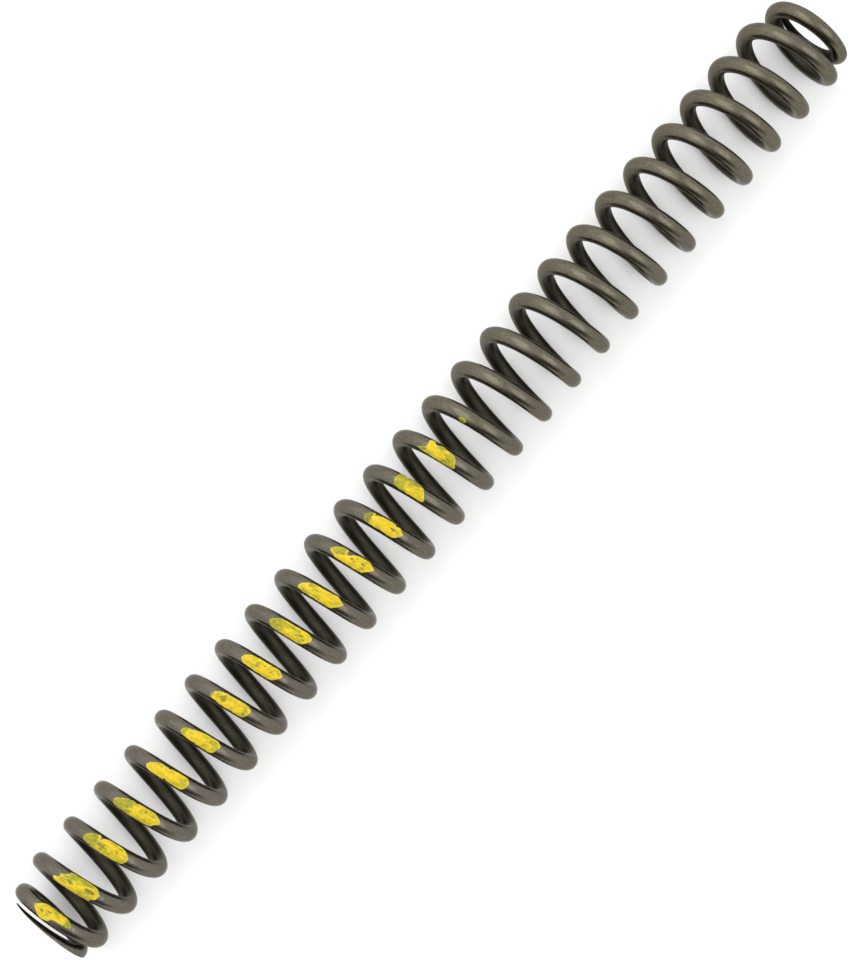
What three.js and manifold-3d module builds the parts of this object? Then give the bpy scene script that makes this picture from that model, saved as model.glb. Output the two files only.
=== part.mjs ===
// Compression coil spring of a telescopic fork, lying on its side.
// It is one right-hand coil of round spring wire with both ends closed and ground flat.
// Each turn of the wire is a mesh of its own, because each turn travels by its own share
// when the spring is squeezed. A rate mark of thick paint sits on each turn of one half.
// Millimetres, +X along the coil's axis from the painted end to the plain end, +Z up.
// The origin is under the middle of the spring, on the surface that it lies on.

import * as THREE from 'three';
import { mergeVertices } from 'three/addons/utils/BufferGeometryUtils.js';
import Module from 'manifold-3d';

const wasm = await Module();
wasm.setup();

// Driving dimensions.
const WIRE_DIAMETER = 4.5;
const OUTER_DIAMETER = 29;
const FREE_LENGTH = 316;
const TURN_COUNT = 28;
const CLOSED_PITCH = 4.75;
const TIP_THICKNESS = 0.35;
const END_INSET = 1.85;
const CUT_GAP = 0.3;

// Where the pitch closes at each end, in turns counted from that end's tip.
const PAINTED_END = { closingStart: 2.0, closingSpan: 1.2 };
const PLAIN_END = { closingStart: 1.6, closingSpan: 0.6 };

// The painted end's tip springs open by this many millimetres, which fade over these turns,
// and the plain end's tip is cut off early by this much of a turn.
const TIP_OPENING = 0.5;
const TIP_OPENING_SPAN = 0.5;
const PLAIN_TIP_CUT = 0.1;

// Where the coil draws in to its smaller end radius, in turns counted from either tip.
const INSET_START = 1.5;
const INSET_SPAN = 0.5;

// The tip's angle round the axis, counted from the top towards -Y, and the steps of a turn.
const TIP_ANGLE = 279;
const STEPS_PER_TURN = 20;

// Paint: the angles that a mark and the small fleck cover, and how thick the film is.
const MARK_COUNT = 14;
const MARK_FROM = -31;
const MARK_TO = 18;
const FLECK_FROM = -19;
const FLECK_TO = -8;
const PAINT_GAP = 0.05;
const PAINT_THICKNESS = 0.2;

// Values that follow from those.
const wireRadius = WIRE_DIAMETER / 2;
const coilRadius = (OUTER_DIAMETER - WIRE_DIAMETER) / 2;
const axisHeight = OUTER_DIAMETER / 2;
const turnsLost = [PAINTED_END, PLAIN_END]
  .map((end) => end.closingStart - end.closingSpan / 2)
  .reduce((sum, turns) => sum + turns);
const tipSpan = FREE_LENGTH + WIRE_DIAMETER - 2 * TIP_THICKNESS;
const activePitch = (tipSpan - CLOSED_PITCH * turnsLost) / (TURN_COUNT - turnsLost);
const facetGrowth = 1 / Math.cos(Math.PI / STEPS_PER_TURN);
const cutHalfTurn = CUT_GAP / 2 / (2 * Math.PI * coilRadius);

const steel = new THREE.MeshStandardMaterial({
  color: 0x5c564a,
  roughness: 0.42,
  metalness: 0.85,
});
const paint = new THREE.MeshStandardMaterial({
  color: 0xe3c41f,
  roughness: 0.5,
  metalness: 0,
});

const part = new THREE.Group();

function addMesh(name, geometry, material) {
  const mesh = new THREE.Mesh(geometry, material.clone());
  mesh.name = name;
  part.add(mesh);
}

function twoDigits(number) {
  return String(number).padStart(2, '0');
}

// ---- The coil's path -------------------------------------------------------

function smoothStep(value) {
  const t = THREE.MathUtils.clamp(value, 0, 1);
  return t * t * (3 - 2 * t);
}

// The length that the coil has lost to closing, a number of turns outward from
// the place where the pitch starts to close. It is the integral of smoothStep.
function closingLoss(turnsOutward, end) {
  const pitchDrop = activePitch - CLOSED_PITCH;
  if (turnsOutward <= 0) {
    return 0;
  }
  if (turnsOutward >= end.closingSpan) {
    return pitchDrop * (turnsOutward - end.closingSpan / 2);
  }
  const t = turnsOutward / end.closingSpan;
  return pitchDrop * end.closingSpan * (t ** 3 - t ** 4 / 2);
}

// The wire's place along the axis. The painted end's tip is at turn 0.
function alongAxis(turn) {
  const paintedLoss = closingLoss(PAINTED_END.closingStart - turn, PAINTED_END);
  const plainLoss = closingLoss(turn - TURN_COUNT + PLAIN_END.closingStart, PLAIN_END);
  const opening = TIP_OPENING * (1 - smoothStep(turn / TIP_OPENING_SPAN));
  return activePitch * turn + paintedLoss - plainLoss - opening;
}

const paintedFace = alongAxis(0) + TIP_OPENING + wireRadius - TIP_THICKNESS;
const axisShift = -paintedFace - FREE_LENGTH / 2;

function radiusAt(turn) {
  const fromTip = Math.min(turn, TURN_COUNT - turn);
  return coilRadius - END_INSET * smoothStep((INSET_START - fromTip) / INSET_SPAN);
}

function radialDirection(turn) {
  const angle = THREE.MathUtils.degToRad(TIP_ANGLE + 360 * turn);
  return new THREE.Vector3(0, -Math.sin(angle), Math.cos(angle));
}

// Away from the axis everything grows by facetGrowth, so that the flats between two steps,
// and not their corners, lie at the true inside and outside diameters.
function outwardScale(turn) {
  return radialDirection(turn).multiplyScalar(facetGrowth);
}

function wireCentre(turn) {
  const point = outwardScale(turn).multiplyScalar(radiusAt(turn));
  return point.add(new THREE.Vector3(alongAxis(turn) + axisShift, 0, axisHeight));
}

// A stretch of the wire's centreline. Its sections stand in planes through the coil's axis,
// so two turns that slide along the axis beside each other never cut into each other.
class WireCurve extends THREE.Curve {
  constructor(startTurn, endTurn) {
    super();
    const firstStep = Math.floor(startTurn * STEPS_PER_TURN) + 1;
    const lastStep = Math.ceil(endTurn * STEPS_PER_TURN) - 1;
    this.turns = [startTurn];
    for (let step = firstStep; step <= lastStep; step += 1) {
      this.turns.push(step / STEPS_PER_TURN);
    }
    this.turns.push(endTurn);
  }

  get stepCount() {
    return this.turns.length - 1;
  }

  getSpacedPoints() {
    return this.turns.map(wireCentre);
  }

  computeFrenetFrames() {
    const normals = this.turns.map(outwardScale);
    const binormals = this.turns.map(() => new THREE.Vector3(-1, 0, 0));
    const tangents = normals.map((normal, i) => normal.clone().cross(binormals[i]));
    return { tangents, normals, binormals };
  }
}

function sweep(outline, startTurn, endTurn) {
  const extrudePath = new WireCurve(startTurn, endTurn);
  const shape = new THREE.Shape(outline);
  return new THREE.ExtrudeGeometry(shape, { extrudePath, steps: extrudePath.stepCount });
}

// ---- The wire's section ----------------------------------------------------

// An eight-sided section with the round wire's area. Its flats across and along the coil's
// axis stand at the wire's true diameter, and its slanted sides lie a little inside it.
// It is drawn with x outward from the coil's axis and y towards the painted end.
const flatHalf = wireRadius * (1 - Math.sqrt(2 - Math.PI / 2));
const slantReach = (wireRadius + flatHalf) / Math.SQRT2;

// A corner of that section, grown outward by an offset, in the section's first octant.
function cornerAt(offset) {
  return { far: wireRadius + offset, near: flatHalf + (Math.SQRT2 - 1) * offset };
}

function wireOutline() {
  const { far, near } = cornerAt(0);
  const quarter = [new THREE.Vector2(far, near), new THREE.Vector2(near, far)];
  const outline = [];
  for (let turn = 0; turn < 4; turn += 1) {
    const centre = new THREE.Vector2(0, 0);
    quarter.forEach((corner) => {
      outline.push(corner.clone().rotateAround(centre, turn * Math.PI / 2));
    });
  }
  return outline;
}

// ---- The wire, turn by turn ------------------------------------------------

function toSolid(geometry) {
  const bare = geometry.clone();
  bare.deleteAttribute('normal');
  bare.deleteAttribute('uv');
  const merged = mergeVertices(bare);
  return new wasm.Manifold(new wasm.Mesh({
    numProp: 3,
    vertProperties: new Float32Array(merged.attributes.position.array),
    triVerts: new Uint32Array(merged.index.array),
  }));
}

function toGeometry(solid) {
  const mesh = solid.getMesh();
  const geometry = new THREE.BufferGeometry();
  geometry.setAttribute('position', new THREE.BufferAttribute(mesh.vertProperties, 3));
  geometry.setIndex(new THREE.BufferAttribute(mesh.triVerts, 1));
  geometry.computeVertexNormals();
  return geometry;
}

// The grinding wheel: a block that takes everything beyond an end face.
function grindFlat(geometry, side) {
  const depth = 2 * WIRE_DIAMETER;
  const block = new THREE.BoxGeometry(depth, 2 * OUTER_DIAMETER, 2 * OUTER_DIAMETER);
  block.translate(side * (FREE_LENGTH + depth) / 2, 0, axisHeight);
  return toGeometry(toSolid(geometry).subtract(toSolid(block)));
}

function turnGeometry(index) {
  const isFirst = index === 0;
  const isLast = index === TURN_COUNT - 1;
  const start = isFirst ? 0 : index + cutHalfTurn;
  const end = isLast ? TURN_COUNT - PLAIN_TIP_CUT : index + 1 - cutHalfTurn;
  const geometry = sweep(wireOutline(), start, end);
  if (isFirst) {
    return grindFlat(geometry, -1);
  }
  return isLast ? grindFlat(geometry, 1) : geometry;
}

function turnName(index) {
  if (index === 0) {
    return 'painted_end_coil';
  }
  return index === TURN_COUNT - 1 ? 'plain_end_coil' : `turn_${twoDigits(index + 1)}`;
}

for (let index = 0; index < TURN_COUNT; index += 1) {
  addMesh(turnName(index), turnGeometry(index), steel);
}

// ---- Paint -----------------------------------------------------------------

// A film over the section's outer flat and the slants beside it, out to the side that
// faces the painted end.
function markOutline() {
  const corners = [PAINT_GAP, PAINT_GAP + PAINT_THICKNESS].map((offset) => {
    const { far, near } = cornerAt(offset);
    const slantMiddle = (slantReach + offset) / Math.SQRT2;
    return [
      new THREE.Vector2(slantMiddle, -slantMiddle),
      new THREE.Vector2(far, -near),
      new THREE.Vector2(far, near),
      new THREE.Vector2(near, far),
    ];
  });
  return [...corners[1], ...corners[0].reverse()];
}

// A speck on the slant that faces the painted end.
function fleckOutline() {
  const margin = 0.25;
  const corners = [PAINT_GAP, PAINT_GAP + PAINT_THICKNESS].map((offset) => {
    const { far, near } = cornerAt(offset);
    const outer = new THREE.Vector2(far, near);
    const inner = new THREE.Vector2(near, far);
    return [outer.clone().lerp(inner, margin), outer.clone().lerp(inner, 1 - margin)];
  });
  return [...corners[1], ...corners[0].reverse()];
}

// The turn at which a strand passes an angle counted from the top. Strand 1 starts in turn 1.
function turnAtAngle(strand, degrees) {
  return strand + (360 - TIP_ANGLE + degrees) / 360;
}

for (let mark = 1; mark <= MARK_COUNT; mark += 1) {
  const start = turnAtAngle(mark, MARK_FROM);
  const end = turnAtAngle(mark, MARK_TO);
  addMesh(`paint_mark_${twoDigits(mark)}`, sweep(markOutline(), start, end), paint);
}

const fleckStrand = MARK_COUNT + 1;
const fleckStart = turnAtAngle(fleckStrand, FLECK_FROM);
const fleckEnd = turnAtAngle(fleckStrand, FLECK_TO);
addMesh('paint_fleck', sweep(fleckOutline(), fleckStart, fleckEnd), paint);

export default part;
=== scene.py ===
"""The looks of a telescopic fork spring: one long coil of dark spring wire, lying on its side.

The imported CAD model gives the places, the sizes and how the turns travel. This script replaces
each turn with a finely made stretch of round wire, and each rate mark with a brushed dab of paint.
Lengths in this script are millimetres until a mesh is written, and a place along the wire is given
in turns, counted from the painted end's tip. Round the coil, an angle of 0 is the top and 90 is -Y.
Round the wire's own section, 0 points away from the coil's axis and 90 towards the plain end.
"""

import math

import bmesh
import bpy
import numpy as np
from mathutils import Matrix, Vector


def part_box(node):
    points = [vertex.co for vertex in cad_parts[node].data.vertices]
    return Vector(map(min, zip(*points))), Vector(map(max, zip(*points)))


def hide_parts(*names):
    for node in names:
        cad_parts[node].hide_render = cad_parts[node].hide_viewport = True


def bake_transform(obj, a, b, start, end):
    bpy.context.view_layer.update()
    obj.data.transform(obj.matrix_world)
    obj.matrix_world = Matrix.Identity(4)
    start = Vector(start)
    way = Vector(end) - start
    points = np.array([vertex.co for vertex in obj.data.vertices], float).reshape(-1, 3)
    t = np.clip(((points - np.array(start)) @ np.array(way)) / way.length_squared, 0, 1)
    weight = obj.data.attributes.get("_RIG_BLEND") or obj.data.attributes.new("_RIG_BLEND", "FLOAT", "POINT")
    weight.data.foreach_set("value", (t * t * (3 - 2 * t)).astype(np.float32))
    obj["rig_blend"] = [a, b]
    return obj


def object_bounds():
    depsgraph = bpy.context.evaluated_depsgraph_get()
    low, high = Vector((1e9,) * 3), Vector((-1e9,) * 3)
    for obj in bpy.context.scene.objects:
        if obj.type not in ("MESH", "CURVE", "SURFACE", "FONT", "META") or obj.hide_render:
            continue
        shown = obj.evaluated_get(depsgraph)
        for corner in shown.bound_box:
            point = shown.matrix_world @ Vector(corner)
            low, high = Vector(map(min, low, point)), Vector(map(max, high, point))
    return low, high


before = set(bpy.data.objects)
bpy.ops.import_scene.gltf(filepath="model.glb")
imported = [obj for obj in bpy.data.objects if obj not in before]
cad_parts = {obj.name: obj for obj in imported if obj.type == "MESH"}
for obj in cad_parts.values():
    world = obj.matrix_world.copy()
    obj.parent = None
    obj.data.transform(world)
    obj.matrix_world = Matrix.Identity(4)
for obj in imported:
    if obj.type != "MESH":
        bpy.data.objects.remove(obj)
cad_low, cad_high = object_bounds()

MM = 0.001

# ---- Driving dimensions, the same as the CAD model's -------------------------------------------

turn_low, turn_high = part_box("turn_14")
OUTER_DIAMETER = (turn_high.z - turn_low.z) / MM
FREE_LENGTH = (cad_high.x - cad_low.x) / MM
WIRE_DIAMETER = 4.5
TURN_COUNT = 28
CLOSED_PITCH = 4.75
TIP_THICKNESS = 0.35
END_INSET = 1.85
INSET_START = 1.5
INSET_SPAN = 0.5
TIP_ANGLE = 279

# Where the pitch closes, as (turns from that end's tip, turns that the change takes).
PAINTED_END = (2.0, 1.2)
PLAIN_END = (1.6, 0.6)

WIRE_RADIUS = WIRE_DIAMETER / 2
COIL_RADIUS = (OUTER_DIAMETER - WIRE_DIAMETER) / 2
AXIS_HEIGHT = OUTER_DIAMETER / 2
TURNS_LOST = sum(start - span / 2 for start, span in (PAINTED_END, PLAIN_END))
TIP_SPAN = FREE_LENGTH + WIRE_DIAMETER - 2 * TIP_THICKNESS
ACTIVE_PITCH = (TIP_SPAN - CLOSED_PITCH * TURNS_LOST) / (TURN_COUNT - TURNS_LOST)

# The painted end's tip springs open by this many millimetres, which fade over these turns,
# and the plain end's tip is cut off early by this much of a turn.
TIP_OPENING = 0.5
TIP_OPENING_SPAN = 0.5
PLAIN_TIP_CUT = 0.1

# How finely the wire is made.
STEPS_PER_TURN = 120
SIDES = 40


# ---- The coil's path ----------------------------------------------------------------------------

def smooth_step(value):
    t = np.clip(value, 0, 1)
    return t * t * (3 - 2 * t)


def closing_loss(turns_outward, end):
    """The length lost to closing, a number of turns outward from where the pitch starts to close."""
    span = end[1]
    drop = ACTIVE_PITCH - CLOSED_PITCH
    t = np.clip(turns_outward / span, 0, 1)
    easing = drop * span * (t**3 - t**4 / 2)
    return np.where(turns_outward >= span, drop * (turns_outward - span / 2), easing)


def along_axis(turn):
    painted_loss = closing_loss(PAINTED_END[0] - turn, PAINTED_END)
    plain_loss = closing_loss(turn - TURN_COUNT + PLAIN_END[0], PLAIN_END)
    opening = TIP_OPENING * (1 - smooth_step(turn / TIP_OPENING_SPAN))
    return ACTIVE_PITCH * turn + painted_loss - plain_loss - opening


# Where the wire would start if its tip were closed.
FIRST_PLACE = float(along_axis(np.array(0.0))) + TIP_OPENING
AXIS_SHIFT = cad_low.x / MM - (FIRST_PLACE + WIRE_RADIUS - TIP_THICKNESS)


def coil_angle(turn):
    return np.radians(TIP_ANGLE + 360 * turn)


def wire_centre(turn):
    from_tip = np.minimum(turn, TURN_COUNT - turn)
    radius = COIL_RADIUS - END_INSET * smooth_step((INSET_START - from_tip) / INSET_SPAN)
    angle = coil_angle(turn)
    across = [-radius * np.sin(angle), AXIS_HEIGHT + radius * np.cos(angle)]
    return np.stack([along_axis(turn) + AXIS_SHIFT, *across], axis=-1)


def unit(vectors):
    return vectors / np.linalg.norm(vectors, axis=-1, keepdims=True)


def wire_frame(turn):
    """The wire's centre, and its outward and sideways directions, which stand square to it. The
    wire's own direction is measured across a very short stretch of it."""
    nudge = 1e-4
    forward = unit(wire_centre(turn + nudge) - wire_centre(turn - nudge))
    angle = coil_angle(turn)
    radial = np.stack([0 * angle, -np.sin(angle), np.cos(angle)], axis=-1)
    outward = unit(radial - (radial * forward).sum(-1, keepdims=True) * forward)
    return wire_centre(turn), outward, np.cross(outward, forward)


def arc_length(turn):
    """The wire's length from the painted tip, in millimetres."""
    return turn * math.hypot(2 * math.pi * COIL_RADIUS, ACTIVE_PITCH)


def travel_share(turn):
    """The share of the spring's travel that a place on the wire makes. Every gap between two turns
    closes by the same share of its own width, so the turns never run into each other."""
    opening = along_axis(turn) - FIRST_PLACE - CLOSED_PITCH * turn
    full = TIP_SPAN - CLOSED_PITCH * TURN_COUNT
    return np.clip(opening / full, 0, 1)


# ---- Meshes --------------------------------------------------------------------------------------

def write_attribute(mesh, name, kind, values):
    attribute = mesh.attributes.new(name, kind, "POINT")
    field = "vector" if kind == "FLOAT_VECTOR" else "value"
    attribute.data.foreach_set(field, np.ascontiguousarray(values, np.float32).ravel())


def read_attribute(mesh, name):
    values = np.zeros(len(mesh.vertices), np.float32)
    mesh.attributes[name].data.foreach_get("value", values)
    return values.astype(float)


def new_mesh(name, points, faces, turns, around, height):
    """A mesh whose vertices carry their turn, their angle round the section and their wire_place:
    the distance along the wire and the two coordinates in its section."""
    mesh = bpy.data.meshes.new(name)
    mesh.from_pydata((points * MM).tolist(), [], faces)
    reach = WIRE_RADIUS + height
    place = [arc_length(turns), reach * np.cos(around), reach * np.sin(around)]
    write_attribute(mesh, "wire_place", "FLOAT_VECTOR", np.stack(place, axis=-1))
    write_attribute(mesh, "turn", "FLOAT", turns)
    write_attribute(mesh, "film", "FLOAT", np.maximum(height, 0))
    return mesh


def add_piece(mesh, node):
    """Puts a finished mesh in the scene in place of its CAD node. It bends between the two end
    bodies."""
    piece = bpy.data.objects.new(mesh.name, mesh)
    bpy.context.scene.collection.objects.link(piece)
    start = (cad_low.x, 0, AXIS_HEIGHT * MM)
    end = (cad_high.x, 0, AXIS_HEIGHT * MM)
    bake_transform(piece, "painted_end", "plain_end", start=start, end=end)
    shares = travel_share(read_attribute(mesh, "turn")).astype(np.float32)
    mesh.attributes["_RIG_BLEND"].data.foreach_set("value", shares)
    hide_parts(node)


# ---- Node helpers --------------------------------------------------------------------------------

class Nodes:
    """The node tree of a material or of the world, with short calls for the few kinds of node
    used here."""

    def __init__(self, owner, shader_name="Principled BSDF"):
        self.owner = owner
        self.owner.use_nodes = True
        self.tree = owner.node_tree
        self.shader = self.tree.nodes[shader_name]

    def add(self, kind, **settings):
        node = self.tree.nodes.new(kind)
        for key, value in settings.items():
            setattr(node, key, value)
        return node

    def link(self, output, socket):
        self.tree.links.new(output, socket)

    def attribute(self, name, output):
        return self.add("ShaderNodeAttribute", attribute_name=name).outputs[output]

    def stretched(self, vector, scale):
        node = self.add("ShaderNodeMapping")
        node.inputs["Scale"].default_value = scale
        self.link(vector, node.inputs["Vector"])
        return node.outputs["Vector"]

    def noise(self, vector, scale, detail=3.0, roughness=0.55):
        node = self.add("ShaderNodeTexNoise")
        node.inputs["Scale"].default_value = scale
        node.inputs["Detail"].default_value = detail
        node.inputs["Roughness"].default_value = roughness
        self.link(vector, node.inputs["Vector"])
        return node.outputs["Fac"]

    def between(self, value, low, high, to_low=0.0, to_high=1.0):
        node = self.add("ShaderNodeMapRange", clamp=True)
        self.link(value, node.inputs["Value"])
        limits = (("From Min", low), ("From Max", high), ("To Min", to_low), ("To Max", to_high))
        for socket, number in limits:
            node.inputs[socket].default_value = number
        return node.outputs["Result"]

    def math(self, operation, first, second):
        node = self.add("ShaderNodeMath", operation=operation)
        for socket, value in zip(node.inputs, (first, second)):
            if isinstance(value, (int, float)):
                socket.default_value = value
            else:
                self.link(value, socket)
        return node.outputs[0]

    def mix(self, factor, first, second, blend_type="MIX"):
        node = self.add("ShaderNodeMix", data_type="RGBA", blend_type=blend_type)
        sockets = (node.inputs[0], node.inputs[6], node.inputs[7])
        for socket, value in zip(sockets, (factor, first, second)):
            if isinstance(value, (int, float)):
                socket.default_value = value
            elif isinstance(value, tuple):
                socket.default_value = (*value, 1.0)
            else:
                self.link(value, socket)
        return node.outputs[2]

    def grey(self, value):
        node = self.add("ShaderNodeCombineColor")
        for socket in node.inputs:
            self.link(value, socket)
        return node.outputs["Color"]

    def ramp(self, value, stops):
        node = self.add("ShaderNodeValToRGB")
        elements = node.color_ramp.elements
        while len(elements) < len(stops):
            elements.new(1.0)
        for element, (position, colour) in zip(elements, stops):
            element.position = position
            element.color = (*colour, 1.0)
        self.link(value, node.inputs["Fac"])
        return node.outputs["Color"]

    def bump(self, height, strength, distance_mm):
        node = self.add("ShaderNodeBump")
        node.inputs["Strength"].default_value = strength
        node.inputs["Distance"].default_value = distance_mm * MM
        self.link(height, node.inputs["Height"])
        self.link(node.outputs["Normal"], self.shader.inputs["Normal"])


# ---- Materials -----------------------------------------------------------------------------------

WIRE_LENGTH = TURN_COUNT * 2 * math.pi * COIL_RADIUS
THICKEST_FILM = 0.16

# The wire's oxide, which is browner at the painted end and more olive at the plain one.
OXIDE_AT_PAINTED_END = (0.115, 0.103, 0.089)
OXIDE_AT_PLAIN_END = (0.104, 0.0945, 0.060)
BROWNED_OXIDE = (0.107, 0.091, 0.075)
DRAWN_LINE = (0.134, 0.122, 0.090)
SCRATCH = (0.165, 0.150, 0.113)
# The colour of the side towards the coil's axis: painted shade for the shadow inside the coil.
INNER_SIDE_PAINTED_SHADE = (0.042, 0.038, 0.028)
PIT = (0.030, 0.027, 0.022)
WIRE_EDGE_TINT = (0.68, 0.67, 0.64, 1.0)

GROUND_STEEL_DARK = (0.30, 0.29, 0.27)
GROUND_STEEL_LIGHT = (0.46, 0.45, 0.42)
TARNISH = (0.19, 0.16, 0.12)

# The paint's colour by its share of the thickest film.
PAINT_BY_FILM = (
    (0.10, (0.190, 0.125, 0.022)),
    (0.20, (0.180, 0.170, 0.014)),
    (0.32, (0.270, 0.252, 0.015)),
    (0.45, (0.358, 0.305, 0.014)),
    (0.60, (0.495, 0.373, 0.012)),
    (0.72, (0.575, 0.412, 0.011)),
    (1.00, (0.620, 0.392, 0.010)),
)
# The raised rim's paler colour, a painted highlight along that ridge of paint.
PAINT_RIM_HIGHLIGHT = (0.620, 0.510, 0.080)


def wire_material():
    """Oil-tempered spring wire: a thin dark oxide with fine lengthwise drawing lines, pits, and a
    duller side towards the coil's axis, which is darkened there with painted shade."""
    nodes = Nodes(bpy.data.materials.new("oil_tempered_wire"))
    place = nodes.attribute("wire_place", "Vector")
    streaks = nodes.noise(nodes.stretched(place, (0.05, 2.6, 2.6)), 1.0, 4.0, 0.6)
    scratches = nodes.noise(nodes.stretched(place, (0.16, 9.0, 9.0)), 1.0, 2.0, 0.7)
    patches = nodes.noise(place, 0.16, 3.0)
    mottle = nodes.noise(place, 1.5, 4.0, 0.7)
    grain = nodes.noise(place, 5.0, 2.0, 0.7)
    specks = nodes.between(nodes.noise(place, 1.7, 1.0), 0.715, 0.76)

    apart = nodes.add("ShaderNodeSeparateXYZ")
    nodes.link(place, apart.inputs[0])
    to_plain_end = nodes.between(apart.outputs["X"], 0.2 * WIRE_LENGTH, 0.75 * WIRE_LENGTH)
    inside = nodes.between(apart.outputs["Y"], -0.4, -0.8 * WIRE_RADIUS)
    oxide = nodes.mix(to_plain_end, OXIDE_AT_PAINTED_END, OXIDE_AT_PLAIN_END)
    browned = nodes.mix(nodes.between(patches, 0.35, 0.68), oxide, BROWNED_OXIDE)
    lined = nodes.mix(nodes.between(streaks, 0.38, 0.66, 0.0, 0.6), browned, DRAWN_LINE)
    marked = nodes.mix(nodes.between(scratches, 0.56, 0.72, 0.0, 0.25), lined, SCRATCH)
    mottle_shade = nodes.grey(nodes.between(mottle, 0.3, 0.7, 0.74, 1.22))
    mottled = nodes.mix(1.0, marked, mottle_shade, "MULTIPLY")
    # Darker on the side towards the coil's axis, which is painted shade for the shadow inside the coil.
    inner_shaded = nodes.mix(inside, mottled, INNER_SIDE_PAINTED_SHADE)
    colour = nodes.mix(specks, inner_shaded, PIT)
    nodes.link(colour, nodes.shader.inputs["Base Color"])

    gloss = nodes.math("ADD", nodes.between(streaks, 0.3, 0.7, 0.22, 0.29),
                       nodes.between(grain, 0.3, 0.7, -0.03, 0.05))
    gloss = nodes.math("ADD", gloss, nodes.math("MULTIPLY", inside, 0.14))
    nodes.link(gloss, nodes.shader.inputs["Roughness"])
    nodes.shader.inputs["Metallic"].default_value = 1.0
    nodes.shader.inputs["Specular Tint"].default_value = WIRE_EDGE_TINT

    relief = nodes.math("ADD", nodes.math("MULTIPLY", streaks, 0.6), nodes.math("MULTIPLY", grain, 0.4))
    nodes.bump(nodes.math("SUBTRACT", relief, nodes.math("MULTIPLY", specks, 0.5)), 0.3, 0.02)
    return nodes.owner


def ground_steel_material():
    """The end faces, ground bright and then lightly tarnished."""
    nodes = Nodes(bpy.data.materials.new("ground_steel"))
    place = nodes.add("ShaderNodeTexCoord").outputs["Object"]
    lines = nodes.noise(nodes.stretched(place, (300.0, 4200.0, 260.0)), 1.0, 2.0, 0.7)
    stain = nodes.noise(place, 260.0, 3.0)
    bright = nodes.mix(nodes.between(lines, 0.35, 0.65), GROUND_STEEL_DARK, GROUND_STEEL_LIGHT)
    colour = nodes.mix(nodes.between(stain, 0.45, 0.75), bright, TARNISH)
    nodes.link(colour, nodes.shader.inputs["Base Color"])
    nodes.link(nodes.between(lines, 0.3, 0.7, 0.26, 0.42), nodes.shader.inputs["Roughness"])
    nodes.shader.inputs["Metallic"].default_value = 1.0
    nodes.bump(lines, 0.4, 0.03)
    return nodes.owner


def paint_material():
    """Yellow marking paint, brushed on by hand: green where it is thin enough for the dark wire to
    show through, warmer where it is thick, and paler at its raised rim, which is a painted highlight."""
    nodes = Nodes(bpy.data.materials.new("rate_mark_paint"))
    film = nodes.attribute("film", "Fac")
    place = nodes.attribute("wire_place", "Vector")
    brush = nodes.noise(nodes.stretched(place, (0.9, 3.4, 3.4)), 1.0, 3.0, 0.6)
    dabs = nodes.noise(place, 0.9, 2.0)
    grain = nodes.noise(place, 9.0, 2.0, 0.6)

    wobble = nodes.between(brush, 0.3, 0.7, -0.012, 0.012)
    cover = nodes.between(nodes.math("ADD", film, wobble), 0.0, THICKEST_FILM)
    colour = nodes.ramp(cover, PAINT_BY_FILM)
    # The raised rim is real paint, and its paler colour is a painted highlight.
    rim = nodes.between(nodes.attribute("rim", "Fac"), 0.0, 1.0, 0.0, 0.55)
    rim_highlighted = nodes.mix(rim, colour, PAINT_RIM_HIGHLIGHT)
    shade = nodes.grey(nodes.between(dabs, 0.35, 0.65, 0.86, 1.06))
    shaded = nodes.mix(1.0, rim_highlighted, shade, "MULTIPLY")
    nodes.link(shaded, nodes.shader.inputs["Base Color"])
    nodes.link(nodes.between(brush, 0.3, 0.7, 0.38, 0.52), nodes.shader.inputs["Roughness"])
    nodes.shader.inputs["Specular IOR Level"].default_value = 0.2
    relief = nodes.math("ADD", brush, nodes.math("MULTIPLY", grain, 0.25))
    nodes.bump(relief, 0.6, 0.08)
    return nodes.owner


# ---- The wire ------------------------------------------------------------------------------------

# Points of a cut that lie closer than this, in metres, are joined before its face is filled.
WELD_DISTANCE = 0.002 * MM


def grind_flat(mesh, side):
    """Cuts a mesh off at an end face and closes it there with the second material."""
    face_x = cad_low.x if side < 0 else cad_high.x
    cut = bmesh.new()
    cut.from_mesh(mesh)
    everything = [*cut.verts, *cut.edges, *cut.faces]
    bmesh.ops.bisect_plane(cut, geom=everything, plane_co=(face_x, 0, 0), plane_no=(side, 0, 0),
                           clear_outer=True)
    bmesh.ops.remove_doubles(cut, verts=cut.verts, dist=WELD_DISTANCE)
    rim = [edge for edge in cut.edges if edge.is_boundary]
    filled = bmesh.ops.edgeloop_fill(cut, edges=rim)["faces"]
    for face in bmesh.ops.triangulate(cut, faces=filled, ngon_method="EAR_CLIP")["faces"]:
        face.material_index = 1
        face.smooth = False
    bmesh.ops.recalc_face_normals(cut, faces=cut.faces)
    cut.to_mesh(mesh)
    cut.free()


def shade_round(mesh):
    """Gives the wire's round side its true normals, so that neighbouring turns join unseen."""
    turns = read_attribute(mesh, "turn")
    points = np.array([vertex.co for vertex in mesh.vertices], float) / MM
    true_normals = unit(points - wire_centre(turns))
    corner_normals = []
    for face in mesh.polygons:
        for index in face.vertices:
            corner_normals.append(true_normals[index] if face.use_smooth else face.normal)
    mesh.normals_split_custom_set(corner_normals)


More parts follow.
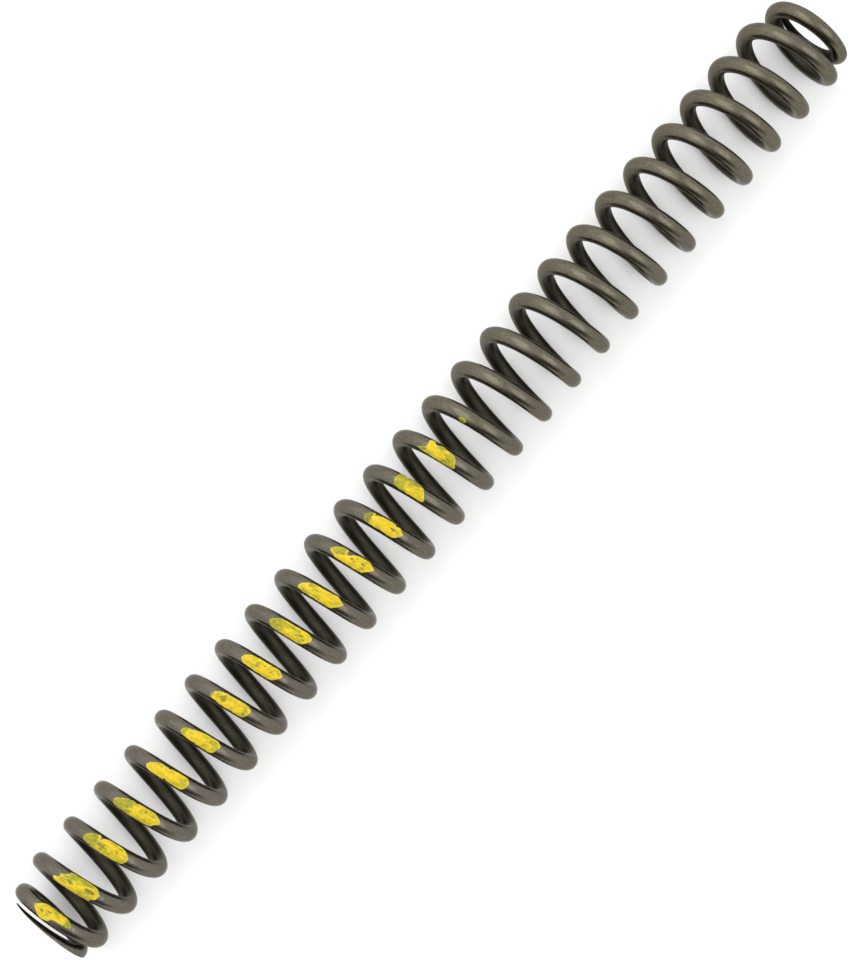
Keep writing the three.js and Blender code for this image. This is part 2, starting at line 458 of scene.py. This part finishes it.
def wire_mesh(name, first_turn):
    """One turn of round wire, closed at both ends. The plain end's is shorter by its tip's cut."""
    length = 1 - PLAIN_TIP_CUT if first_turn == TURN_COUNT - 1 else 1
    turns = first_turn + length * np.arange(STEPS_PER_TURN + 1) / STEPS_PER_TURN
    around = np.arange(SIDES) * 2 * math.pi / SIDES
    centre, outward, sideways = wire_frame(turns)
    section = (np.cos(around)[None, :, None] * outward[:, None]
               + np.sin(around)[None, :, None] * sideways[:, None])
    points = (centre[:, None] + WIRE_RADIUS * section).reshape(-1, 3)
    faces = []
    for step in range(STEPS_PER_TURN):
        here, ahead = step * SIDES, (step + 1) * SIDES
        for side in range(SIDES):
            beside = (side + 1) % SIDES
            faces.append((here + side, ahead + side, ahead + beside, here + beside))
    last = STEPS_PER_TURN * SIDES
    faces.append(tuple(range(SIDES)))
    faces.append(tuple(reversed(range(last, last + SIDES))))
    all_turns = np.repeat(turns, SIDES)
    all_around = np.tile(around, len(turns))
    mesh = new_mesh(name, points, faces, all_turns, all_around, np.zeros(len(points)))
    for face in mesh.polygons:
        face.use_smooth = len(face.vertices) == 4
    return mesh


def turn_node(index):
    """The CAD node of one turn of the wire, counted from 0 at the painted end."""
    if index == 0:
        return "painted_end_coil"
    return "plain_end_coil" if index == TURN_COUNT - 1 else f"turn_{index + 1:02d}"


def add_wire():
    wire, ground = wire_material(), ground_steel_material()
    for index in range(TURN_COUNT):
        node = turn_node(index)
        mesh = wire_mesh(f"{node}_wire", index)
        mesh.materials.append(wire)
        if index in (0, TURN_COUNT - 1):
            mesh.materials.append(ground)
            grind_flat(mesh, -1 if index == 0 else 1)
        shade_round(mesh)
        add_piece(mesh, node)


# ---- The rate marks ------------------------------------------------------------------------------

# Each mark's outline runs from its left tip over the side of the plain end, as pairs of the angle
# round the coil and the angle round the section, in degrees. Then come the places where the paint
# is thin, is chipped down to a trace, or is left in a thick ridge by the brush.
# A spot is (angle, around, half its length, half its width), a thin one has the share of the paint
# that is left there too, and a ridge is a line of points.

MARKS = [
    dict(
        outline=[(-29, 4), (-24, 25), (-18, 55), (-8, 64), (4, 66), (14, 60), (21, 34), (20.5, 4),
                 (10, -4), (2, -8), (-4, -38), (-11, -52), (-18, -47), (-21, -30), (-26, -12)],
        thin=[(-30, 0, 7, 40, 0.5), (20, 22, 8, 50, 0.4), (-3, 62, 16, 12, 0.5),
              (-4, 10, 40, 90, 0.92)],
        chips=[(-15.5, 1, 3.6, 9), (-7, 20, 2.5, 6)],
        ridges=[],
    ),
    dict(
        outline=[(-31.5, -34), (-25, -12), (-24, 10), (-18, 34), (-15, 62), (0, 68), (14, 62),
                 (20.5, 30), (21, -5), (16, -38), (13, -60), (-8, -64), (-28, -60)],
        thin=[(-17, 42, 13, 46, 0.56), (-12, -2, 5, 12, 0.32), (4, 48, 10, 20, 0.5),
              (4, 0, 40, 90, 0.9)],
        chips=[(11, 10, 7.4, 14)],
        ridges=[[(-31, -38), (-14, -42), (-6, -16), (4, 14), (13, 32)]],
    ),
    dict(
        outline=[(-34, -22), (-29, 25), (-19, 50), (-16.5, 44), (-15, 30), (-12, 48), (-5, 62),
                 (8, 62), (14, 48), (19.5, 10), (18, -20), (15, -46), (-5, -58), (-22, -56),
                 (-31, -46)],
        thin=[(-29, 0, 12.5, 80, 0.5), (-12, -2, 6, 16, 0.34), (4, 0, 40, 90, 0.92)],
        chips=[(-7.5, 10, 4.4, 4.5), (-10.5, -30, 3, 6), (-0.5, -25, 2.6, 5)],
        ridges=[[(-12, 44), (-3, 30), (8, 20)]],
    ),
    dict(
        outline=[(-35.5, -30), (-33, 0), (-24, 30), (-14, 48), (-11, 42), (-6, 52), (6, 56),
                 (13, 52), (19, 24), (21, 4), (16, -24), (12, -50), (-5, -60), (-25, -60),
                 (-34, -52)],
        thin=[(-27, -6, 19, 75, 0.5), (4, 0, 40, 90, 0.88)],
        chips=[(2, 25, 1.8, 5)],
        ridges=[[(-16, -18), (-6, 8)]],
    ),
    dict(
        outline=[(-32.3, -20), (-29, 8), (-20, 38), (-10, 42), (-8, 38), (-2, 52), (12, 54),
                 (17, 28), (17, 0), (15, -30), (10, -48), (-5, -48), (-7.5, -38), (-10, -50),
                 (-24, -54), (-30, -42)],
        thin=[(-15, 10, 1.6, 14, 0.5), (13, 12, 3, 34, 0.72)],
        chips=[],
        ridges=[[(-28, -10), (-18, 8), (-8, -8), (6, -6)]],
    ),
    dict(
        outline=[(-28, -12), (-24, 16), (-15, 33), (-6, 50), (3, 56), (12, 55), (17.5, 30),
                 (16, 0), (14, -28), (10, -50), (-4, -50), (-18, -46), (-26, -36)],
        thin=[(-29, 0, 9, 60, 0.5), (10, 22, 5.5, 26, 0.6)],
        chips=[(1.8, -13, 1.1, 4)],
        ridges=[[(-18, -24), (-8, 4), (4, 26)]],
    ),
    dict(
        outline=[(-29.5, -20), (-25, 14), (-17, 38), (-6, 46), (4, 50), (12, 50), (17.5, 20),
                 (16, -14), (12, -46), (0, -50), (-14, -54), (-20, -46), (-28, -38)],
        thin=[(-14, -3, 4.8, 26, 0.32), (-31, -14, 6, 50, 0.45), (12.5, -12, 2.8, 36, 0.6)],
        chips=[],
        ridges=[[(-24, -22), (-18, -42), (-9, -24), (0, -8)]],
    ),
    dict(
        outline=[(-28.6, -12), (-25, 22), (-17, 40), (-8, 46), (4, 50), (13, 50), (19, 18),
                 (15, -18), (9, -48), (-4, -52), (-18, -50), (-26, -40)],
        thin=[(-10, 4, 2.4, 14, 0.5), (-16, -46, 5, 9, 0.5)],
        chips=[(-2, 15, 1.8, 3.6), (2, 9, 1.9, 3.6), (6, 3, 1.8, 4.6)],
        ridges=[[(-24, 4), (-16, 8)], [(-8, -24), (4, -26)]],
    ),
    dict(
        outline=[(-32.3, -18), (-29, 10), (-21, 38), (-10, 44), (2, 48), (12, 50), (18, 20),
                 (14, -18), (8, -50), (-8, -56), (-24, -56), (-30, -42)],
        thin=[(-26, -24, 14, 60, 0.55), (-15, 16, 10, 24, 0.66), (4, 0, 40, 90, 0.88)],
        chips=[(-5, 22, 3.8, 5.4), (1, 21, 3.4, 3.6), (5.8, 5, 3.4, 8), (9, -12, 2.6, 6)],
        ridges=[[(-12, -20), (0, -22)]],
    ),
    dict(
        outline=[(-33.7, -28), (-29, 10), (-20, 38), (-8, 46), (2, 50), (10, 56), (15.5, 36),
                 (19.5, 18), (17, 0), (12, -28), (9, -50), (-8, -54), (-24, -54), (-32, -46)],
        thin=[(-16.5, 16, 6.5, 16, 0.5), (-25, -40, 5, 12, 0.6), (16, 12, 4, 22, 0.7)],
        chips=[],
        ridges=[[(-23, -12), (-11, 26), (-2, 34)]],
    ),
    dict(
        outline=[(-32, -6), (-28, 20), (-21, 42), (-14.5, 45), (-13, 24), (-12.3, 8), (-9, 18),
                 (-5, 38), (1, 53), (12, 54), (17, 32), (20, 12), (15, -14), (11, -36), (9, -50),
                 (-8, -54), (-22, -52), (-29, -34)],
        thin=[(-25, 22, 12, 46, 0.5)],
        chips=[(-6.2, 2, 2.1, 7), (-3, -6, 2, 5), (6.3, 9, 2.3, 6), (-1, 20, 1.3, 4)],
        ridges=[[(-23, -44), (-13, -4), (-5, 32)]],
    ),
    dict(
        outline=[(-26.5, -6), (-24, 24), (-18, 42), (-16.5, 26), (-12, 42), (0, 52), (7, 52),
                 (8.5, 36), (12, 46), (17, 26), (19, 8), (15, -22), (9, -50), (-4, -46),
                 (-10, -50), (-20, -48), (-25.5, -44)],
        thin=[(-24.6, -4, 6.6, 80, 0.3)],
        chips=[(7, 5, 4.2, 9)],
        ridges=[[(-17, 20), (-14, -20), (-12, -44)], [(-6, -4), (4, -2)]],
    ),
    dict(
        outline=[(-28, -10), (-27.5, 30), (-26, 62), (-10, 66), (1, 56), (6, 28), (10, -10),
                 (11.5, -28), (9.5, -48), (-4, -52), (-16, -54), (-22, -46), (-26, -36)],
        thin=[(-24, 4, 11.5, 80, 0.5), (-7, 44, 12, 22, 0.5), (-16, -46, 7, 13, 0.5),
              (4, 0, 40, 90, 0.9)],
        chips=[],
        ridges=[[(-10, -22), (6, -34)]],
    ),
    dict(
        outline=[(-35, -50), (-29, -24), (-24, -8), (-25, 36), (-20, 54), (-15, 30), (-9, 50),
                 (-3, 38), (2, 36), (7, 28), (10.5, 0), (12.5, -26), (12, -56), (-5, -62),
                 (-22, -60)],
        thin=[(7, 0, 8, 80, 0.66), (-32, -34, 8.5, 50, 0.5), (-10, 30, 8, 20, 0.6)],
        chips=[(-24.3, -35, 2.2, 10)],
        ridges=[[(-22, 30), (-20, 6)]],
    ),
]

FLECK = dict(
    outline=[(-18.8, -44), (-16, -30), (-12.5, -28), (-9.3, -44), (-11, -62), (-15, -66),
             (-18, -58)],
    thin=[(-14, -46, 6, 20, 0.45)],
    chips=[],
    ridges=[],
)

# Millimetres per degree on the wire's outer side, along the coil and round the section.
ALONG = math.radians(1) * OUTER_DIAMETER / 2
ROUND = math.radians(1) * WIRE_RADIUS

# The size of a cell of the paint's mesh, and how deep its root stands in the wire.
GRID = 0.115
ROOT_DEPTH = 0.22

# The film: its usual thickness, the least share of it that a thin place keeps, what is left in
# a chip, the ridges, the raised rim, the rounding of the edge and how far the edge wanders.
FILM_THICKNESS = 0.105
LEAST_SHARE = 0.2
CHIP_FILM = 0.014
RIDGE_HEIGHT = 0.05
RIDGE_WIDTH = 0.32
RIM_HEIGHT = 0.022
RIM_WIDTH = 0.26
EDGE_WIDTH = 0.24
EDGE_WANDER = 0.15

# How strongly each kind of unevenness changes the film, and the cells after which it repeats.
STROKES, LUMPS, POOLS, FURROWS = 0.3, 0.2, 0.17, 0.22
NOISE_CELLS = 64


def soft_noise(x, y, seed):
    """Smooth noise from -1 to 1, in cells of size 1, that repeats after NOISE_CELLS of them."""
    table = np.random.default_rng(seed).uniform(-1, 1, (NOISE_CELLS, NOISE_CELLS))
    column, row = np.floor(x).astype(int), np.floor(y).astype(int)
    across, down = smooth_step(x - column), smooth_step(y - row)

    def corner(i, j):
        return table[(row + j) % NOISE_CELLS, (column + i) % NOISE_CELLS]

    above = corner(0, 0) * (1 - across) + corner(1, 0) * across
    below = corner(0, 1) * (1 - across) + corner(1, 1) * across
    return above * (1 - down) + below * down


def to_plane(points):
    return np.array(points, float) * (ALONG, ROUND)


def rounded_outline(corners, per_side=8):
    """A smooth closed line through the corners."""
    t = (np.arange(per_side) / per_side)[:, None]
    before, here = np.roll(corners, 1, axis=0), corners
    ahead, beyond = np.roll(corners, -1, axis=0), np.roll(corners, -2, axis=0)
    line = []
    for a, b, c, d in zip(before, here, ahead, beyond):
        line.append(0.5 * (2 * b + (c - a) * t + (2 * a - 5 * b + 4 * c - d) * t**2
                           + (3 * b - a - 3 * c + d) * t**3))
    return np.concatenate(line)


def distance_to_line(points, starts, ends):
    """The distance from each point to the nearest of some straight stretches."""
    along = ends - starts
    offset = points[:, None] - starts[None]
    share = np.clip((offset * along).sum(-1) / np.maximum((along**2).sum(-1), 1e-12), 0, 1)
    return np.linalg.norm(offset - share[..., None] * along, axis=-1).min(axis=1)


def inside_distance(points, line):
    """How far inside a closed line each point is, and less than 0 outside it."""
    ends = np.roll(line, -1, axis=0)
    crossings = np.zeros(len(points), int)
    for a, b in zip(line, ends):
        spans = (a[1] > points[:, 1]) != (b[1] > points[:, 1])
        slope = (b[0] - a[0]) / (b[1] - a[1]) if b[1] != a[1] else 0
        crossings += spans & (points[:, 0] < a[0] + slope * (points[:, 1] - a[1]))
    return distance_to_line(points, line, ends) * np.where(crossings % 2 == 1, 1, -1)


def spot_distance(points, spot):
    """0 in the middle of a spot and 1 at its edge."""
    angle, around, half_length, half_width = spot
    offset = (points - to_plane([(angle, around)])) / to_plane([(half_length, half_width)])
    return np.linalg.norm(offset, axis=1)


def film_height(points, mark, seed):
    """The height of the paint's surface above the wire, and below it outside the mark. With it come
    the distance inside the mark's edge, and how much of the raised rim is at each point."""
    x, y = points.T
    edge = inside_distance(points, rounded_outline(to_plane(mark["outline"])))
    edge = edge + EDGE_WANDER * (0.6 * soft_noise(x / 0.7, y / 0.5, seed)
                                 + 0.6 * soft_noise(x / 0.3, y / 0.25, seed + 100))
    warp = 0.35 * np.stack([soft_noise(x / 1.1, y / 0.8, seed + 500),
                            soft_noise(x / 1.1, y / 0.8, seed + 600)], axis=-1)
    film = np.full(len(points), FILM_THICKNESS)
    for *spot, share_left in mark["thin"]:
        thinned = smooth_step((1.05 - spot_distance(points + warp, spot)) / 0.32)
        film = np.minimum(film, FILM_THICKNESS * (1 + (share_left - 1) * thinned))

    for ridge in mark["ridges"]:
        line = to_plane(ridge)
        away = distance_to_line(points, line[:-1], line[1:])
        film = film + RIDGE_HEIGHT * np.exp(-((away / RIDGE_WIDTH) ** 2))

    strokes = soft_noise(x / 1.7 + y / 2.0, y / 0.42 - x / 2.6, seed + 200)
    lumps = soft_noise(x / 0.55, y / 0.5, seed + 300)
    pools = soft_noise(x / 2.2, y / 1.6, seed + 700)
    furrow = soft_noise(x / 1.5 + y / 3.0, y / 0.55 - x / 4.0, seed + 800)
    furrows = np.exp(-((furrow / 0.13) ** 2))
    share = np.clip(film / FILM_THICKNESS, 0, 1)
    film = film * (1 + STROKES * strokes + LUMPS * lumps + POOLS * pools - FURROWS * furrows)
    rim = share * np.exp(-(((edge - RIM_WIDTH) / (0.5 * RIM_WIDTH)) ** 2))
    film = film + RIM_HEIGHT * rim

    film = np.clip(film, LEAST_SHARE * FILM_THICKNESS, THICKEST_FILM)
    height = np.where(edge > 0, film * np.sqrt(np.clip(edge / EDGE_WIDTH, 0, 1)), 0.8 * edge)
    for spot in mark["chips"]:
        strength = smooth_step(1.6 * (1 - spot_distance(points, spot)))
        ragged = strength + 0.35 * soft_noise(x / 0.35, y / 0.25, seed + 400) * (strength > 0)
        height = height + (CHIP_FILM - height) * smooth_step(2 * ragged)
    return height, edge, rim


def joined_cells(inside):
    """Fills in cells that would touch only at a corner, which a closed skin can't do."""
    while True:
        first = inside[:-1, :-1] & inside[1:, 1:] & ~inside[1:, :-1] & ~inside[:-1, 1:]
        second = inside[1:, :-1] & inside[:-1, 1:] & ~inside[:-1, :-1] & ~inside[1:, 1:]
        if not (first.any() or second.any()):
            return inside
        inside[1:, :-1] |= first
        inside[:-1, :-1] |= second


def paint_mesh(name, mark, strand, seed):
    """A dab of paint: its upper skin, and a root inside the wire that closes it."""
    low = to_plane(mark["outline"]).min(axis=0) - 4 * GRID
    high = to_plane(mark["outline"]).max(axis=0) + 4 * GRID
    columns, rows = np.ceil((high - low) / GRID).astype(int)
    column, row = np.meshgrid(np.arange(columns + 1), np.arange(rows + 1), indexing="ij")
    plane = low + np.stack([column.ravel(), row.ravel()], axis=-1) * GRID
    height, edge, rim = film_height(plane, mark, seed)

    touched = (edge > -0.3 * GRID).reshape(columns + 1, rows + 1)
    inside = joined_cells(touched[:-1, :-1] | touched[1:, :-1] | touched[:-1, 1:] | touched[1:, 1:])

    turns = strand + (360 - TIP_ANGLE + plane[:, 0] / ALONG) / 360
    around = np.radians(plane[:, 1] / ROUND)
    centre, outward, sideways = wire_frame(turns)
    section = np.cos(around)[:, None] * outward + np.sin(around)[:, None] * sideways
    heights = np.concatenate([height, np.full(len(plane), -ROOT_DEPTH)])
    points = np.tile(centre, (2, 1)) + (WIRE_RADIUS + heights)[:, None] * np.tile(section, (2, 1))

    root = len(plane)
    faces, is_skin = [], []
    for i, j in np.argwhere(inside):
        corners = [i * (rows + 1) + j, (i + 1) * (rows + 1) + j,
                   (i + 1) * (rows + 1) + j + 1, i * (rows + 1) + j + 1]
        faces.append(tuple(corners))
        faces.append(tuple(root + corner for corner in reversed(corners)))
        is_skin += [True, False]
        for side, (di, dj) in enumerate(((0, -1), (1, 0), (0, 1), (-1, 0))):
            a, b = corners[side], corners[(side + 1) % 4]
            ni, nj = i + di, j + dj
            if not (0 <= ni < columns and 0 <= nj < rows and inside[ni, nj]):
                faces.append((b, a, root + a, root + b))
                is_skin.append(False)

    used = np.unique([corner for face in faces for corner in face])
    renumber = np.zeros(2 * root, int)
    renumber[used] = np.arange(len(used))
    faces = [tuple(int(renumber[corner]) for corner in face) for face in faces]
    turns, around = np.tile(turns, 2)[used], np.tile(around, 2)[used]
    mesh = new_mesh(name, points[used], faces, turns, around, heights[used])
    write_attribute(mesh, "rim", "FLOAT", np.tile(rim, 2)[used])
    mesh.polygons.foreach_set("use_smooth", is_skin)
    return mesh


def add_paint():
    paint = paint_material()
    dabs = [(f"paint_mark_{number:02d}", mark) for number, mark in enumerate(MARKS, start=1)]
    dabs.append(("paint_fleck", FLECK))
    for strand, (node, mark) in enumerate(dabs, start=1):
        mesh = paint_mesh(f"{node}_film", mark, strand, seed=strand)
        mesh.materials.append(paint)
        add_piece(mesh, node)


# ---- Camera, floor and light ---------------------------------------------------------------------

# Distances from here on are metres, and the lens is in millimetres.
CAMERA_DISTANCE = 0.639
CAMERA_LEAN = math.radians(5.26)
CAMERA_ROLL = math.radians(49.59)
CAMERA_TARGET = Vector((-0.0042, -0.0003, AXIS_HEIGHT * MM))
LENS = 89.74


def add_camera():
    """The camera looks down on the spring, leans back towards the painted end, and is turned so
    that the plain end is at the upper right."""
    data = bpy.data.cameras.new("camera")
    data.lens = LENS
    camera = bpy.data.objects.new("camera", data)
    bpy.context.scene.collection.objects.link(camera)
    turned = Matrix.Rotation(-CAMERA_LEAN, 4, "Y") @ Matrix.Rotation(-CAMERA_ROLL, 4, "Z")
    back = turned.to_3x3() @ Vector((0, 0, 1))
    camera.matrix_world = Matrix.Translation(CAMERA_TARGET + CAMERA_DISTANCE * back) @ turned
    bpy.context.scene.camera = camera


# Half of the floor's width, and the hair's breadth that it lies below the spring.
FLOOR_HALF = 4.0
FLOOR_GAP = 0.0001


def add_floor():
    mesh = bpy.data.meshes.new("studio_floor")
    signs = ((-1, -1), (1, -1), (1, 1), (-1, 1))
    corners = [(x * FLOOR_HALF, y * FLOOR_HALF, 0) for x, y in signs]
    mesh.from_pydata(corners, [], [(0, 1, 2, 3)])
    nodes = Nodes(bpy.data.materials.new("white_paper"))
    fibres = nodes.noise(nodes.add("ShaderNodeTexCoord").outputs["Object"], 60.0)
    shade = nodes.mix(fibres, (0.80, 0.80, 0.80), (0.83, 0.83, 0.83))
    nodes.link(shade, nodes.shader.inputs["Base Color"])
    nodes.shader.inputs["Roughness"].default_value = 0.9
    nodes.shader.inputs["Specular IOR Level"].default_value = 0.1
    mesh.materials.append(nodes.owner)
    floor = bpy.data.objects.new("studio_floor", mesh)
    floor.location.z = cad_low.z - FLOOR_GAP
    bpy.context.scene.collection.objects.link(floor)


# Each lamp is (name, place, length, width, power in watts).
LAMPS = [
    ("left_softbox", (-0.16, 0.40, 0.66), 1.05, 0.5, 2.25),
    ("right_softbox", (0.14, -0.41, 0.66), 0.85, 0.5, 1.6),
]

# The tent's brightness, that of its opening and which way the opening lies, and how many times
# brighter the +Y wall is.
TENT_BRIGHTNESS = 1.35
OPENING_BRIGHTNESS = 0.05
OPENING = Vector((-0.78, -0.58, 0.25)).normalized()
BRIGHTER_WALL = 1.28


def add_light():
    """A white light tent with an opening beyond the painted end and a brighter wall on the +Y side,
    and a softbox on each side of the camera. The camera itself sees the tent as closed."""
    world = bpy.data.worlds.new("light_tent")
    bpy.context.scene.world = world
    nodes = Nodes(world, "Background")
    direction = nodes.add("ShaderNodeTexCoord").outputs["Generated"]
    facing = nodes.add("ShaderNodeVectorMath", operation="DOT_PRODUCT")
    nodes.link(direction, facing.inputs[0])
    facing.inputs[1].default_value = OPENING
    tent = nodes.between(facing.outputs["Value"], 0.65, 1.0, TENT_BRIGHTNESS, OPENING_BRIGHTNESS)
    sideways = nodes.add("ShaderNodeSeparateXYZ")
    nodes.link(direction, sideways.inputs[0])
    wall = nodes.between(sideways.outputs["Y"], 0.2, 0.9, 1.0, BRIGHTER_WALL)
    tent = nodes.math("MULTIPLY", tent, wall)
    is_camera = nodes.add("ShaderNodeLightPath").outputs["Is Camera Ray"]
    nodes.link(nodes.math("MAXIMUM", tent, is_camera), nodes.shader.inputs["Strength"])
    nodes.shader.inputs["Color"].default_value = (1.0, 1.0, 1.0, 1.0)

    target = Vector((0, 0, AXIS_HEIGHT * MM))
    for name, place, length, width, power in LAMPS:
        data = bpy.data.lights.new(name, "AREA")
        data.shape = "RECTANGLE"
        data.size = length
        data.size_y = width
        data.energy = power
        lamp = bpy.data.objects.new(name, data)
        lamp.location = place
        lamp.rotation_mode = "QUATERNION"
        lamp.rotation_quaternion = (target - Vector(place)).to_track_quat("-Z", "Y")
        lamp.visible_camera = False
        bpy.context.scene.collection.objects.link(lamp)
    bpy.context.scene.view_settings.view_transform = "Standard"


add_camera()
add_floor()
add_light()
add_wire()
add_paint()
